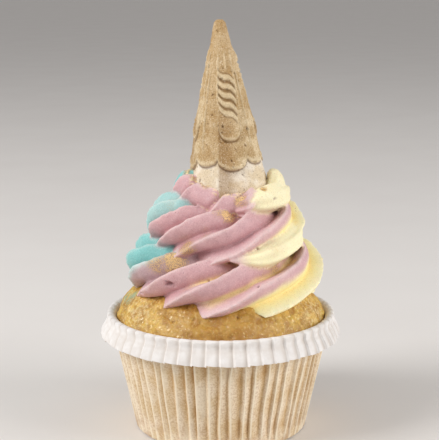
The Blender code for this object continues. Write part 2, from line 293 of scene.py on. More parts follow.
case_outline = [(22.0, 0.17), (23.6, 0.17), (24.6, 0.2), (25.0, 0.4), (25.15, 1.0)]
case_outline += [(24.95 + 0.217 * z, z) for z in np.linspace(2.2, 29.0, 22)]
case_outline += [(31.15, 29.9), (30.9, 30.8), (30.7, 31.6), (30.6, 32.4)]
case_outline += [(30.7, 33.1), (31.05, 33.7), (31.55, 34.1)]
first_collar_ring = len(case_outline)
case_outline += [(32.1, 34.3), (32.65, 34.2), (33.05, 33.85), (33.2, 33.3), (33.1, 32.6), (33.1, 32.0)]
case_outline += [(33.35, 31.3), (33.8, 30.6), (34.25, 29.8), (34.6, 29.0), (34.85, 28.4), (35.0, 27.75)]
paper_case = grow_rings("pleated_paper_case", PLEATS * len(PLEAT_PHASES), case_outline)
print("case rings:", len(case_outline))


# %% Press the pleats
def waver(pleat, height, apart, along, seed):
    """Noise from -1 to 1 that differs from pleat to pleat and changes slowly down the wall."""
    pairs = zip(pleat.tolist(), height.tolist())
    return np.array([noise.noise(Vector((number * apart, h * along, seed))) for number, h in pairs])


def press_pleats(item):
    columns = PLEATS * len(PLEAT_PHASES)
    radius, azimuth, height = to_polar(places_of(item))
    column = np.round((azimuth % 360.0) / 360.0 * columns).astype(int) % columns
    ring = np.arange(len(radius)) // columns
    pleat = column // len(PLEAT_PHASES)
    phase_index = column % len(PLEAT_PHASES)
    phase = PLEAT_PHASES[phase_index]
    on_collar = ring >= first_collar_ring
    wander = np.array([chance.uniform(-0.2, 0.2) for _ in range(PLEATS + 1)])
    depths = np.array([chance.uniform(0.65, 1.3) for _ in range(PLEATS)])
    wander[PLEATS] = wander[0]
    loose = 1.0 - ease(22.0, 33.0, height)
    loose[on_collar] = 0.06
    drift = 0.2 * waver(pleat, height, 5.31, 0.07, 2.0)
    drift_next = 0.2 * waver((pleat + 1) % PLEATS, height, 5.31, 0.07, 2.0)
    here = pleat + (wander[pleat] + drift) * loose
    after = pleat + 1 + (wander[pleat + 1] + drift_next) * loose
    turned_to = (here + (after - here) * phase) * 360.0 / PLEATS
    fall = PLEAT_FALL[phase_index]
    fade = 0.35 * waver(pleat, height, 3.7, 0.045, 9.0)
    depth = 0.8 * (depths[pleat] + fade * loose) * ease(-1.0, 7.0, height)
    depth[height < 0.18] = 0.25
    collar_back = (1.0 - phase) / (1.0 - COLLAR_FOLD_AT)
    collar_fall = np.where(phase < COLLAR_FOLD_AT, phase / COLLAR_FOLD_AT, collar_back)
    collar_depth = (0.62 + 0.14 * np.sin(pleat * 2.4)) * (0.3 + 0.7 * ease(34.0, 32.6, height))
    sag = 0.34 * (phase - 0.5) + 0.16 * np.sin(np.pi * phase) + 0.1 * np.sin(pleat * 1.9 + 0.4)
    hem = ease(31.0, 27.8, height) * on_collar
    rim = ease(33.6, 34.6, height)
    brim = ease(29.5, 33.0, height)
    radius = radius - np.where(on_collar, collar_depth * collar_fall, depth * fall * (1.0 - 0.75 * brim))
    radius = radius + np.where(on_collar, hem * 0.15 * np.sin(turned_to * 0.12), 0.0)
    height = height - hem * sag - 0.25 * rim * fall
    flat = ring == 0
    turned_to = np.where(flat, azimuth, turned_to)
    radius = np.where(flat, case_outline[0][0], radius)
    put_places(item, from_polar(radius, turned_to, np.maximum(height, PAPER)))
    soaked = np.where(on_collar, 0.0, 1.0 - ease(28.0, 31.0, height))
    give_attribute(item, "soaked", soaked)
    wall_fall = fall * np.clip(depth / 1.1, 0.2, 1.2) * (1.0 - brim)
    give_attribute(item, "valley", np.where(on_collar, collar_fall * 0.4, wall_fall))
    print("pleat depth in mm from", round(float(depth.min()), 2), "to", round(float(depth.max()), 2))


press_pleats(paper_case)
apply_modifier(paper_case, "SOLIDIFY", thickness=PAPER * MM, offset=-1.0, use_even_offset=False)
finish_piece(paper_case, "paper_case", 40)

# %% [markdown]
# ** Its finish.** Fat from the sponge soaks through the wall, which turns tan and shows the
# crumb behind it as a fine grain. The creases stand off the cake and stay pale, and so does the
# collar, which never touches it, though painted shade greys it in its pleat valleys and along its
# bend. Towards its foot the wall is a shade darker. The two attributes that were stored with the
# pleats tell the nodes where the paper is soaked and how deep in a pleat it lies.

# %% Greaseproof paper
paper = Finish("greaseproof_paper")
blotches = paper.reach(paper.grain(7.0, 2.0), 0.38, 0.62)
sandy = paper.grain(0.55, 2.0, 0.7)
soaked = paper.per_vertex("soaked")
valley = paper.per_vertex("valley")
pale_tan = paper.mix(blotches, screen(236, 220, 196), screen(222, 200, 164))
deep_tan = paper.mix(blotches, screen(208, 178, 130), screen(190, 150, 96))
wall = paper.mix(paper.reach(valley, 0.12, 1.0), pale_tan, deep_tan)
speckle = paper.reach(sandy, 0.4, 0.66)
wall = paper.mix(paper.sum("MULTIPLY", speckle, 0.45), wall, screen(172, 130, 82))
milky = paper.reach(paper.grain(3.2, 2.0, 0.5, (1, 1, 0.22)), 0.52, 0.68, 0.0, 0.5)
wall = paper.mix(milky, wall, screen(230, 217, 194))
crease = paper.reach(valley, 0.0, 0.12, 0.85, 0.0)
wall = paper.mix(crease, wall, screen(242, 230, 206))
dots = paper.reach(paper.grain(0.32, 2.0, 0.8), 0.56, 0.68, 0.0, 0.5)
wall = paper.mix(dots, wall, screen(240, 228, 202))
split = paper.add("ShaderNodeSeparateXYZ")
paper.feed(split.inputs["Vector"], paper.place)
height_up = split.outputs["Z"]
foot = paper.reach(height_up, 0.0, 9.0 * MM, 0.45, 0.0)
foot = paper.sum("MULTIPLY", foot, paper.reach(paper.grain(5.0, 2.0), 0.42, 0.6))
wall = paper.mix(foot, wall, screen(176, 132, 92))
clouded = paper.reach(paper.grain(3.0, 3.0), 0.35, 0.65)
collar = paper.mix(clouded, screen(236, 233, 231), screen(226, 221, 217))
# Painted shade: the collar is greyed deep in its pleats and along the bend below the brim.
collar = paper.mix(paper.reach(valley, 0.2, 0.4, 0.0, 0.5), collar, screen(196, 184, 172))
bend = paper.reach(height_up, 32.0 * MM, 31.2 * MM)
bend = paper.sum("MULTIPLY", bend, paper.reach(height_up, 30.4 * MM, 31.2 * MM))
collar = paper.mix(paper.sum("MULTIPLY", bend, 0.15), collar, screen(202, 190, 178))
paper.feed(paper.shader.inputs["Base Color"], paper.mix(soaked, collar, wall))
paper.feed(paper.shader.inputs["Roughness"], paper.reach(sandy, 0.3, 0.7, 0.55, 0.8))
paper.shader.inputs["Specular IOR Level"].default_value = 0.35
paper.bumps((paper.grain(0.35, 3.0, 0.7), 0.035), (paper.grain(2.2, 2.0), 0.06))
paper.on(paper_case)

# %% [markdown]
# **The sponge.** It fills the case and domes over its rim. Its skin is a fine open crumb with
# glossy, fatty grains. A coarse turned form is subdivided until its vertices are about 0.4 mm
# apart, and then each is pushed by several sizes of noise. Real relief is used, and not bump
# alone, because the crumb shows against the paper along the rim.

# %% The sponge's form
CAKE_TOP = 45.5
CAKE_EDGE = 32.6
dome = [(30.1 * share, CAKE_EDGE + (CAKE_TOP - CAKE_EDGE) * (1.0 - share**3.2) ** 0.62)
        for share in (0.99, 0.97, 0.945, 0.915, 0.88, 0.84, 0.79, 0.7, 0.55, 0.3)]
cake_outline = [(21.6, 0.7), (22.8, 0.75), (23.7, 2.2), (26.7, 15.0), (29.7, 30.0), (30.0, 31.2)]
cake_outline += [(30.2, 32.2), (30.2, 33.0), (30.0, 33.7)] + dome
sponge = grow_rings("sponge_with_crumb", 120, cake_outline, close_top=True)
apply_modifier(sponge, "SUBSURF", levels=2, render_levels=2, subdivision_type="SIMPLE")


# %% Raise the crumb
def raise_crumb(item):
    places = places_of(item)
    radius, azimuth, height = to_polar(places)
    bared = ease(31.0, 33.5, height) * ease(16.0, 20.0, radius)
    swell = 0.5 * rough(places, 7.0, 1.0) + 0.2 * rough(places, 2.0, 2.0)
    grains = 0.22 * rough(places, 1.1, 3.0) + 0.16 * rough(places, 0.6, 4.0)
    holes = -0.4 * ease(0.45, 0.7, rough(places, 1.3, 5.0))
    crack_middle = np.array([-4.0, -27.5, 37.4])
    away = np.linalg.norm((places - crack_middle) / np.array([4.5, 2.5, 1.2]), axis=1)
    crack = -0.8 * np.exp(-away * away)
    push = bared * (swell + grains + holes + crack)
    put_places(item, places + normals_of(item) * push[:, None])
    give_attribute(item, "crumb", np.clip(0.5 + grains + 0.6 * holes + 0.35 * swell, 0.0, 1.0))
    print("crumb from", round(float(push.min()), 2), "to", round(float(push.max()), 2), "mm")


raise_crumb(sponge)
finish_piece(sponge, "sponge_cake", 180)

# %% [markdown]
# ** Its finish.** Baked sponge is golden, and its pores are darkened with painted shade. The front,
# under the swirl, is darkened with painted shade, and both sides get patches of painted light, laid
# as soft balls of colour.
# Two sizes of grain vary the colour, tiny grains are glossier and painted bright as highlights of
# the fat's shine, and a little light is let into the crumb, as it is in a real sponge. A smear of
# turquoise cream was wiped onto the sponge at the left.

# %% Vanilla sponge
vanilla = Finish("vanilla_sponge")
crumb = vanilla.per_vertex("crumb")
fine = vanilla.grain(0.7, 3.0, 0.7)
baked = vanilla.reach(vanilla.grain(3.5, 3.0), 0.38, 0.62)
tone = vanilla.mix(baked, screen(176, 130, 38), screen(212, 172, 76))
# Painted shade: the sunk pores of the crumb are darkened.
tone = vanilla.mix(vanilla.reach(crumb, 0.15, 0.45, 0.6, 0.0), tone, screen(150, 98, 28))
tone = vanilla.mix(vanilla.reach(fine, 0.45, 0.34, 0.0, 0.35), tone, screen(170, 118, 34))
# Painted highlight: the brightest fine grains are lightened as the shine of fat, and are made glossier too.
glint = vanilla.reach(fine, 0.55, 0.68)
tone = vanilla.mix(vanilla.sum("MULTIPLY", glint, 0.8), tone, screen(250, 224, 152))


def patch(finish, middle, size, edge=0.35):
    """1 inside a soft-edged ball with this middle and radius in millimetres, and 0 outside."""
    away = finish.add("ShaderNodeVectorMath", operation="DISTANCE")
    finish.feed(away.inputs[0], finish.place)
    away.inputs[1].default_value = [v * MM for v in middle]
    return finish.reach(away.outputs["Value"], size * MM, size * edge * MM)


# Painted shade: a soft brown ball darkens the front of the sponge, under the overhang of the swirl.
painted_swirl_shade = patch(vanilla, (1.0, -33.0, 34.0), 27.0, 0.2)
tone = vanilla.mix(vanilla.sum("MULTIPLY", painted_swirl_shade, 0.55), tone, screen(156, 102, 16))
# Painted light: soft pale patches brighten both sides of the sponge.
painted_side_light = patch(vanilla, (-26.0, -15.0, 38.5), 12.0, 0.3)
painted_side_light = vanilla.sum("MAXIMUM", painted_side_light, patch(vanilla, (29.0, -13.0, 37.0), 11.0, 0.3))
painted_side_light = vanilla.sum("MULTIPLY", painted_side_light, vanilla.reach(vanilla.grain(1.4, 3.0, 0.7), 0.42, 0.6, 0.0, 0.45))
tone = vanilla.mix(painted_side_light, tone, screen(244, 224, 172))
smear = patch(vanilla, (-27.0, -6.0, 40.3), 4.2)
smear = vanilla.sum("MAXIMUM", smear, patch(vanilla, (-28.4, -1.0, 38.5), 3.6))
smear = vanilla.sum("MULTIPLY", smear, vanilla.reach(vanilla.grain(1.6, 3.0), 0.42, 0.6, 0.15, 0.75))
tone = vanilla.mix(smear, tone, screen(142, 186, 164))
vanilla.feed(vanilla.shader.inputs["Base Color"], tone)
vanilla.feed(vanilla.shader.inputs["Roughness"], vanilla.reach(glint, 0.0, 1.0, 0.55, 0.22))
vanilla.shader.inputs["Subsurface Weight"].default_value = 0.3
vanilla.shader.inputs["Subsurface Radius"].default_value = (1.0, 0.55, 0.25)
vanilla.shader.inputs["Subsurface Scale"].default_value = 1.2 * MM
vanilla.bumps((vanilla.grain(0.3, 3.0, 0.7), 0.05), (vanilla.cells(0.8), 0.09))
vanilla.shader.inputs["Specular IOR Level"].default_value = 0.8
vanilla.on(sponge)

# %% [markdown]
# **The wafer cone.** It is a moulded biscuit with a smooth tip and a raised drape round its
# body, whose hem hangs in petals, wide and narrow in turn. Thin ribs run down the panels and
# along their edges. The wide panels at the front and at the back carry a plain column of
# slanting bars, and under the hem the wall has four flutes. All of that is low relief on one
# round wall, so the wall is made fine and even, and each vertex is then set to the radius that
# the mould has at its azimuth and height.

# %% The cone's outline
CONE_LENGTH = 52.0
CONE_TIP = (-0.4, 0.0, 117.9)
CONE_LEAN = 2.8
cone_downs = [0.0, 0.2, 0.9, 4.0, 12.3, 19.7, 29.4, 39.1, 44.0, 52.0]
cone_radii = [0.0, 0.95, 1.6, 2.35, 4.1, 6.0, 8.3, 10.1, 11.3, 13.3]


def cone_radius(down):
    plain = np.interp(down, cone_downs, cone_radii)
    around = [np.interp(down + step, cone_downs, cone_radii) for step in (-1.6, -0.8, 0.8, 1.6)]
    soft = (plain + sum(around)) / 5.0
    return np.where(down > 2.6, soft, plain)


rows = [CONE_LENGTH, 51.0, 49.0] + list(np.arange(47.0, 1.0, -1.2)) + [1.0, 0.6, 0.35, 0.2, 0.08]
cone_outline = [(float(cone_radius(np.array([down]))[0]), CONE_LENGTH - down) for down in rows]
wafer = grow_rings("moulded_wafer_cone", 72, cone_outline, close_top=True)
apply_modifier(wafer, "SUBSURF", levels=2, render_levels=2, subdivision_type="SIMPLE")


# %% Mould the relief
# A wide panel and a narrow one repeat four times round the cone. Angles are in degrees from the
# left edge of a wide panel, and downs are measured from the tip.
FIRST_PANEL = -14.0
PANEL_PAIR = 90.0
WIDE_PANEL = 50.5
HEM_DOWN = 38.0
UPPER_HEM_DOWN = 25.6
# Each rib is: its angle, its half width, and the downs where it starts, is full, fades and ends.
RIBS = [(edge, 0.5, 8.0, 9.5, 18.0, 27.0) for edge in (0.0, WIDE_PANEL, PANEL_PAIR)]
RIBS += [(62.0, 0.45, 13.0, 16.0, 33.0, 38.0), (26.0, 0.35, 8.0, 9.5, 13.0, 14.5)]
RIB_HEIGHT = 0.34


def ridge(value, half_width):
    """A soft ridge, 1 where value is 0 and 0 beyond the half width."""
    return ease(half_width, 0.0, np.abs(value))


def mould_relief(item):
    places = places_of(item)
    radius, azimuth, height = to_polar(places)
    down = CONE_LENGTH - height
    bare = cone_radius(down)
    grit = rough(places, 0.8, 15.0)
    turn = (azimuth - FIRST_PANEL) % PANEL_PAIR
    wide = turn < WIDE_PANEL
    narrow_share = (turn - WIDE_PANEL) / (PANEL_PAIR - WIDE_PANEL)
    across = np.where(wide, turn / WIDE_PANEL, narrow_share) * 2.0 - 1.0
    curve = np.sqrt(np.clip(1.0 - across * across, 0.0, 1.0))
    hem = HEM_DOWN + np.where(wide, 3.3, 2.0) * curve + 0.12 * grit
    above = ease(hem + 0.3, hem - 0.1, down)
    drape = ease(7.0, 9.0, down) * above
    lip = 0.3 * ridge(down - hem + 0.6, 0.8) * (down < hem + 0.2) * (1.0 + 0.8 * grit)
    petal = (across + 0.04) / 0.95
    inside = wide & (np.abs(petal) < 1.0)
    petal_curve = np.sqrt(np.clip(1.0 - np.abs(petal) ** 3.4, 0.0, 1.0))
    upper_hem = UPPER_HEM_DOWN + 7.6 * petal_curve + 0.1 * grit
    upper = 0.34 * inside * ease(upper_hem + 0.25, upper_hem - 0.15, down) * ease(21.0, 31.0, down)
    upper_lip = 0.3 * inside * ridge(down - upper_hem + 0.55, 0.7) * (down < upper_hem + 0.15)
    ribs = np.zeros(len(places))
    for angle, half, start, full, fading, end in RIBS:
        beside = np.radians(np.abs(turn - angle)) * bare
        ribs += ridge(beside, half) * ease(start, full, down) * ease(end, fading, down)
    ribs = RIB_HEIGHT * ribs * (1.0 + 1.2 * grit)
    sideways = np.radians(turn - 24.0) * bare
    slope = down - 0.75 * sideways + 0.5 * np.sin(sideways * 1.4)
    bar = np.abs((slope - 14.6) % 2.5 - 1.25)
    field = ease(2.6, 2.2, np.abs(sideways)) * ease(14.4, 14.8, slope) * ease(27.1, 26.7, slope)
    field = field * wide * (np.abs(np.sin(np.radians(azimuth - 11.0))) < 0.6)
    bars = 0.46 * field * ease(0.95, 0.45, bar) * (1.0 + 0.4 * grit)
    flute = ease(0.0, 17.0, turn) * ease(62.0, 20.0, turn)
    flutes = -flute * (1.5 * ease(hem - 0.1, hem + 0.7, down) + 0.75 * ease(21.0, 31.0, down) * above)
    waves = 0.1 * rough(places, 3.0, 11.0) + 0.06 * rough(places, 1.4, 12.0)
    skin = 0.06 * grit + 0.04 * rough(places, 0.5, 13.0)
    worked = np.clip((lip + upper_lip + ribs + bars) / RIB_HEIGHT, 0.0, 1.0)
    sparse = 0.55 - 0.2 * np.clip(worked, 0.0, 0.5) - 0.1 * ridge(down - hem, 1.0)
    pits = -0.26 * ease(0.0, 0.2, rough(places, 0.8, 14.0) - sparse) * ease(4.0, 9.0, down)
    relief = 0.22 * drape + lip + upper + upper_lip + ribs + bars + flutes
    per_vertex = relief + (waves + skin + pits) * ease(0.3, 3.0, down)
    radius = np.where(radius > 0.02, bare + per_vertex, radius)
    put_places(item, from_polar(radius, azimuth, height))
    # The hollow value marks painted shade: just under the hem lips, between the bars and in the pits.
    under = ridge(down - hem - 0.4, 0.55) + inside * ridge(down - upper_hem - 0.4, 0.5)
    hollow = np.maximum(under - 4.0 * pits, 0.75 * field * ease(0.6, 1.0, bar))
    shaded = ease(0.0, 4.0, turn) * ease(38.0, 12.0, turn) * ease(20.0, 32.0, down)
    give_attribute(item, "hollow", np.clip(hollow, 0.0, 1.0))
    # The raised value marks the ribs, lips and bars, which the finish lightens as a painted highlight.
    give_attribute(item, "raised", worked)
    give_attribute(item, "shaded", shaded)
    give_attribute(item, "skirt", ease(hem - 0.1, hem + 0.4, down))
    print("cone relief from", round(float(per_vertex.min()), 2), "to", round(float(per_vertex.max()), 2), "mm")


mould_relief(wafer)
pick(wafer)
lean = math.radians(-CONE_LEAN)
wafer.rotation_euler = (0.0, lean, 0.0)
wafer.location = (Vector(CONE_TIP) - Vector((math.sin(lean), 0.0, math.cos(lean))) * CONE_LENGTH) * MM
bpy.ops.object.transform_apply(location=True, rotation=True, scale=True)
finish_piece(wafer, "wafer_cone", 180)

# %% [markdown]
# ** Its finish.** Baked wafer is dry, sandy and full of pinholes, which are painted dark as shade.
# The drape is toasted tan, with painted shade down its middle and at the left of each flute, and
# the wall below the hem is paler. The hollows get painted shade, the raised lines get a painted
# highlight, and a brush of edible gold has caught in patches.

# %% Baked wafer
biscuit = Finish("baked_wafer")
sand = biscuit.grain(0.36, 3.0, 0.8)
broad = biscuit.reach(biscuit.grain(4.0, 3.0), 0.38, 0.62)
wafer_tone = biscuit.mix(broad, screen(218, 196, 158), screen(186, 156, 110))
foot_tone = biscuit.mix(broad, screen(244, 233, 216), screen(228, 210, 180))
across = biscuit.add("ShaderNodeSeparateXYZ")
biscuit.feed(across.inputs["Vector"], biscuit.place)
aside = biscuit.sum("ABSOLUTE", across.outputs["X"])
# Painted shade: the drape is darkened down its middle, front and back.
wafer_tone = biscuit.mix(biscuit.reach(aside, 7.0 * MM, 2.0 * MM, 0.0, 0.5), wafer_tone, screen(184, 148, 98))
wafer_tone = biscuit.mix(biscuit.per_vertex("skirt"), wafer_tone, foot_tone)
# Painted shade on the left side of each flute, where the shaded attribute is high.
wafer_tone = biscuit.mix(biscuit.sum("MULTIPLY", biscuit.per_vertex("shaded"), 0.6), wafer_tone, screen(156, 120, 74))
gritty = biscuit.reach(biscuit.per_vertex("skirt"), 0.0, 1.0, 0.8, 0.45)
grit = biscuit.sum("MULTIPLY", biscuit.reach(sand, 0.48, 0.32), gritty)
wafer_tone = biscuit.mix(grit, wafer_tone, screen(134, 98, 54))
wafer_tone = biscuit.mix(biscuit.reach(sand, 0.54, 0.7, 0.0, 0.75), wafer_tone, screen(244, 232, 210))
# Painted shade in the hollows under the hems, between the bars and in the pits.
wafer_tone = biscuit.mix(biscuit.sum("MULTIPLY", biscuit.per_vertex("hollow"), 0.85), wafer_tone, screen(108, 76, 40))
# Painted highlight: the raised ribs, lips and bars are lightened.
wafer_tone = biscuit.mix(biscuit.sum("MULTIPLY", biscuit.per_vertex("raised"), 0.45), wafer_tone, screen(238, 222, 188))
# Painted shade: the pinholes are painted as dark spots.
pinholes = biscuit.reach(biscuit.cells(0.95), 0.17, 0.09)
pinholes = biscuit.sum("MULTIPLY", pinholes, biscuit.reach(biscuit.grain(1.0, 1.0), 0.5, 0.56))
wafer_tone = biscuit.mix(biscuit.sum("MULTIPLY", pinholes, 0.8), wafer_tone, screen(96, 66, 32))
gilt = biscuit.reach(biscuit.cells(0.5), 0.22, 0.08)
gilt = biscuit.sum("MULTIPLY", gilt, biscuit.reach(biscuit.grain(6.0, 2.0), 0.5, 0.64))
wafer_tone = biscuit.mix(biscuit.sum("MULTIPLY", gilt, 0.5), wafer_tone, screen(206, 160, 84))
biscuit.feed(biscuit.shader.inputs["Base Color"], wafer_tone)
biscuit.feed(biscuit.shader.inputs["Metallic"], biscuit.sum("MULTIPLY", gilt, 0.5))
biscuit.feed(biscuit.shader.inputs["Roughness"], biscuit.reach(sand, 0.3, 0.7, 0.85, 0.6))
biscuit.shader.inputs["Specular IOR Level"].default_value = 0.3
biscuit.bumps((biscuit.grain(0.28, 3.0, 0.75), 0.14), (biscuit.grain(0.9, 3.0, 0.6), 0.2), (pinholes, -0.1))
biscuit.on(wafer)

# %% [markdown]
# **The piped cream.** It is one rope of cream, squeezed through a six-pointed star nozzle and
# laid in nearly three turns that climb towards the cone. By hand that is a star-shaped curve
# swept along a spiral curve: the spiral's points carry the rope's thickness as their radius and
# the nozzle's turn as their tilt. Where the cream swells, the stations below give its size. The
# crests come out from under the rope at the travels listed after them, in degrees round the
# cake, so the ridges lean and crowd as the real ones do. The last turn was piped slowly against
# the cone, where the cream buckled into a few fat folds. So it is a second sweep, whose star
# has three points that turn in jerks. At the right of the cone the rope was torn off upwards,
# which left a mauve peak, a thick yellow curl and a horn, and lower down a fold of the second
# turn sags over the first. Those are four short sweeps more.

# %% Where the rope runs
# Each station is: travel, path radius, height, rope radius, shift to the right. The names on
# the next line are the columns of the last four.
PATH_RADIUS, HEIGHT, ROPE_RADIUS, SHIFT = 1, 2, 3, 4
ROPE_STATIONS = np.array([
    (-178.0, 17.0, 45.5, 3.0, 1.2),
    (-160.0, 18.0, 46.0, 8.0, 1.2),
    (-90.0, 18.5, 47.6, 10.0, 0.9),
    (-45.0, 18.6, 45.4, 9.7, 1.1),
    (0.0, 19.0, 43.9, 9.8, 1.2),
    (90.0, 18.9, 45.9, 9.8, 1.4),
    (150.0, 18.4, 46.8, 9.4, 1.4),
    (210.0, 16.0, 54.4, 8.8, 1.4),
    (275.0, 14.2, 60.8, 8.7, 1.3),
    (330.0, 14.2, 58.6, 9.0, 1.3),
    (370.0, 14.3, 57.3, 9.0, 1.3),
    (450.0, 14.4, 59.0, 8.7, 1.3),
    (520.0, 13.2, 62.4, 8.0, 1.6),
    (580.0, 10.8, 67.6, 6.8, 1.8),
    (640.0, 9.8, 69.3, 6.2, 2.2),
    (720.0, 10.4, 65.6, 5.6, 2.2),
    (752.0, 11.0, 65.6, 5.0, 2.2),
    (775.0, 11.4, 66.0, 2.5, 2.2),
])
CREST_TRAVELS = np.array(
    [-205, -180, -155, -131, -108, -85, -68, -41, -16, 20, 95, 127, 159, 191, 220]
    + [249, 276, 296, 318, 349, 386, 450, 480, 510, 540, 570, 600, 630]
)
FOLD_TRAVELS = np.array([560, 604, 620, 632, 643, 656, 670, 697, 712, 741, 756, 780])
FOLDS_GONE = np.array([25.3, 26.0, 26.8, 27.0, 27.8, 28.0, 28.85, 29.0, 29.85, 30.0, 30.9, 31.2])
FOLDS_FROM = 585.0
STAR_TO = 612.0
STAR_POINTS = 6
FOLD_POINTS = 3
FOLD_GROOVE = 0.62
STAR_SAMPLES = 12
FOLD_SAMPLES = 24
STAR_GROOVE = 0.53
STAR_GROOVE_AT = 0.28
LOWEST_CREST = 100.0
LOWEST_FOLD = 40.0
TRAVEL_STEP = 1.5
# The torn end and the fold that sags. Each point is: x, y, height, radius.
PEAK = [(4.4, -13.4, 65.8, 1.6), (6.6, -13.6, 66.8, 3.2), (7.9, -12.8, 68.8, 2.7), (8.4, -12.0, 70.7, 1.8)]
PEAK += [(8.6, -11.7, 72.3, 0.4)]
CURL = [(7.8, -12.8, 67.6, 2.4), (10.4, -11.9, 68.2, 3.5), (13.2, -9.6, 68.6, 4.0), (15.6, -6.0, 68.8, 4.0)]
CURL += [(17.0, -2.0, 69.0, 3.2), (17.2, 1.5, 69.0, 1.6)]
HORN = [(15.4, -6.4, 68.0, 2.6), (15.7, -4.8, 70.2, 3.0), (15.6, -3.4, 72.2, 2.7), (15.2, -2.6, 74.0, 2.2)]
HORN += [(14.7, -2.2, 75.3, 1.6), (14.5, -2.0, 76.0, 0.5)]
SAG = [(2.6, -22.2, 53.9, 0.5), (6.4, -21.3, 53.9, 1.7), (10.6, -19.6, 54.0, 3.0), (14.4, -17.1, 55.0, 3.5)]
SAG += [(17.5, -12.9, 55.9, 3.6), (19.5, -7.8, 56.7, 3.9)]
SAG += [(19.9, -2.0, 57.5, 3.9), (19.5, 3.0, 58.5, 2.8)]


def station(travel, column):
    at = np.searchsorted(ROPE_STATIONS[:, 0], travel, side="right") - 1
    at = np.clip(at, 0, len(ROPE_STATIONS) - 2)
    low, high = ROPE_STATIONS[at], ROPE_STATIONS[at + 1]
    share = ease(low[:, 0], high[:, 0], travel)
    return low[:, column] + (high[:, column] - low[:, column]) * share


def path_at(travels):
    path = from_polar(station(travels, PATH_RADIUS), travels, station(travels, HEIGHT))
    path[:, 0] += station(travels, SHIFT)
    return path


star_travels = np.arange(ROPE_STATIONS[0, 0], STAR_TO, TRAVEL_STEP)
fold_travels = np.arange(FOLDS_FROM, ROPE_STATIONS[-1, 0] + 0.01, TRAVEL_STEP)
star_gone = np.interp(star_travels, CREST_TRAVELS, np.arange(len(CREST_TRAVELS)))
fold_gone = np.interp(fold_travels, FOLD_TRAVELS, FOLDS_GONE)
print("sections:", len(star_travels), "with six ridges and", len(fold_travels), "with three folds")
rope_steps = np.diff(path_at(star_travels), axis=0)
print("rope length in mm:", round(float(np.linalg.norm(rope_steps, axis=1).sum())))


# %% Sweep the star along the spiral
def lay_curve(name, points, closed=False):
    select_nothing()
    bpy.ops.curve.primitive_nurbs_path_add()
    item = bpy.context.object
    item.name = name
    item.data.splines.remove(item.data.splines[0])
    spline = item.data.splines.new("POLY")
    spline.points.add(len(points) - 1)
    for point, place in zip(spline.points, points):
        point.co = (*place, 1.0)
    spline.use_cyclic_u = closed
    return item


def star_nozzle(name, points, samples, groove):
    """A star of radius 1 whose points have a steep side and a slow one."""
    pitches = np.arange(points * samples) / samples
    share = pitches % 1.0
    steep = share / STAR_GROOVE_AT
    slow = np.clip((1.0 - share) / (1.0 - STAR_GROOVE_AT), 0.0, 1.0) ** 1.3
    radius = 1.0 - (1.0 - groove) * np.where(share < STAR_GROOVE_AT, steep, slow)
    angle = 2 * np.pi * pitches / points
    corners = np.stack([radius * np.cos(angle), radius * np.sin(angle), 0 * angle], -1)
    star = lay_curve(name, corners, closed=True)
    star.data.dimensions = "2D"
    return star


def sweep(name, nozzle, path, radii, tilts):
    rope = lay_curve(name, path * MM)
    rope.data.dimensions = "3D"
    rope.data.twist_mode = "Z_UP"
    rope.data.bevel_mode = "OBJECT"
    rope.data.bevel_object = nozzle
    rope.data.use_fill_caps = True
    for point, size, tilt in zip(rope.data.splines[0].points, radii, tilts):
        point.radius = size * MM
        point.tilt = math.radians(tilt)
    pick(rope)
    bpy.ops.object.convert(target="MESH")
    return rope


nozzle = star_nozzle("star_nozzle", STAR_POINTS, STAR_SAMPLES, STAR_GROOVE)
fold_nozzle = star_nozzle("fold_nozzle", FOLD_POINTS, FOLD_SAMPLES, FOLD_GROOVE)
star_tilts = LOWEST_CREST - 360.0 / STAR_POINTS * star_gone
fold_tilts = LOWEST_FOLD - 360.0 / FOLD_POINTS * fold_gone
star_radii = station(star_travels, ROPE_RADIUS)
fold_radii = station(fold_travels, ROPE_RADIUS)
rope = sweep("piped_rope", nozzle, path_at(star_travels), star_radii, star_tilts)
folds = sweep("folded_rope", fold_nozzle, path_at(fold_travels), fold_radii, fold_tilts)
print("swept:", len(rope.data.vertices), "and", len(folds.data.vertices), "vertices")


# %% Sweep the torn end
SHALLOW_GROOVE = 0.84
SPAN_STEPS = 6
PEAK_TILT = -8.0
CURL_TILT = 20.0


def smooth_path(points, steps):
    """Points and radii on a smooth curve through these, as many for each span."""
    table = np.array(points)
    table = np.vstack([2 * table[0] - table[1], table, 2 * table[-1] - table[-2]])
    made = []
    for before, low, high, after in zip(table, table[1:], table[2:], table[3:]):
        for share in np.arange(steps) / steps:
            bend = (2 * before - 5 * low + 4 * high - after) * share**2
            turn = (3 * low - before - 3 * high + after) * share**3
            made.append(0.5 * (2 * low + (high - before) * share + bend + turn))
    return np.array(made + [table[-2]])


shallow = star_nozzle("shallow_nozzle", STAR_POINTS, STAR_SAMPLES, SHALLOW_GROOVE)
way = smooth_path(PEAK, SPAN_STEPS)
peak = sweep("torn_peak", nozzle, way[:, :3], way[:, 3], [PEAK_TILT] * len(way))
yellow_ends = []
for name, points in (("torn_curl", CURL), ("torn_horn", HORN), ("sagging_fold", SAG)):
    way = smooth_path(points, SPAN_STEPS)
    yellow_ends.append(sweep(name, shallow, way[:, :3], way[:, 3], [CURL_TILT] * len(way)))
curl, horn, sagging = yellow_ends
end_places = np.vstack([places_of(item) for item in (peak, curl, horn, sagging)])
end_counts = [len(item.data.vertices) for item in (peak, curl, horn, sagging)]
for used in (nozzle, fold_nozzle, shallow):
    bpy.data.objects.remove(used, do_unlink=True)
print("torn end:", len(end_places), "vertices")

# %% [markdown]
# The rope's own vertices still know where they come from: each section of the sweep holds one
# vertex for each step round the star. So the crests can be roughened here, one tooth after
# another, as stiff cream tears at the nozzle's edges, and the same table later tells each point
# of the finished swirl which ridge it lies on and how far down its flank.

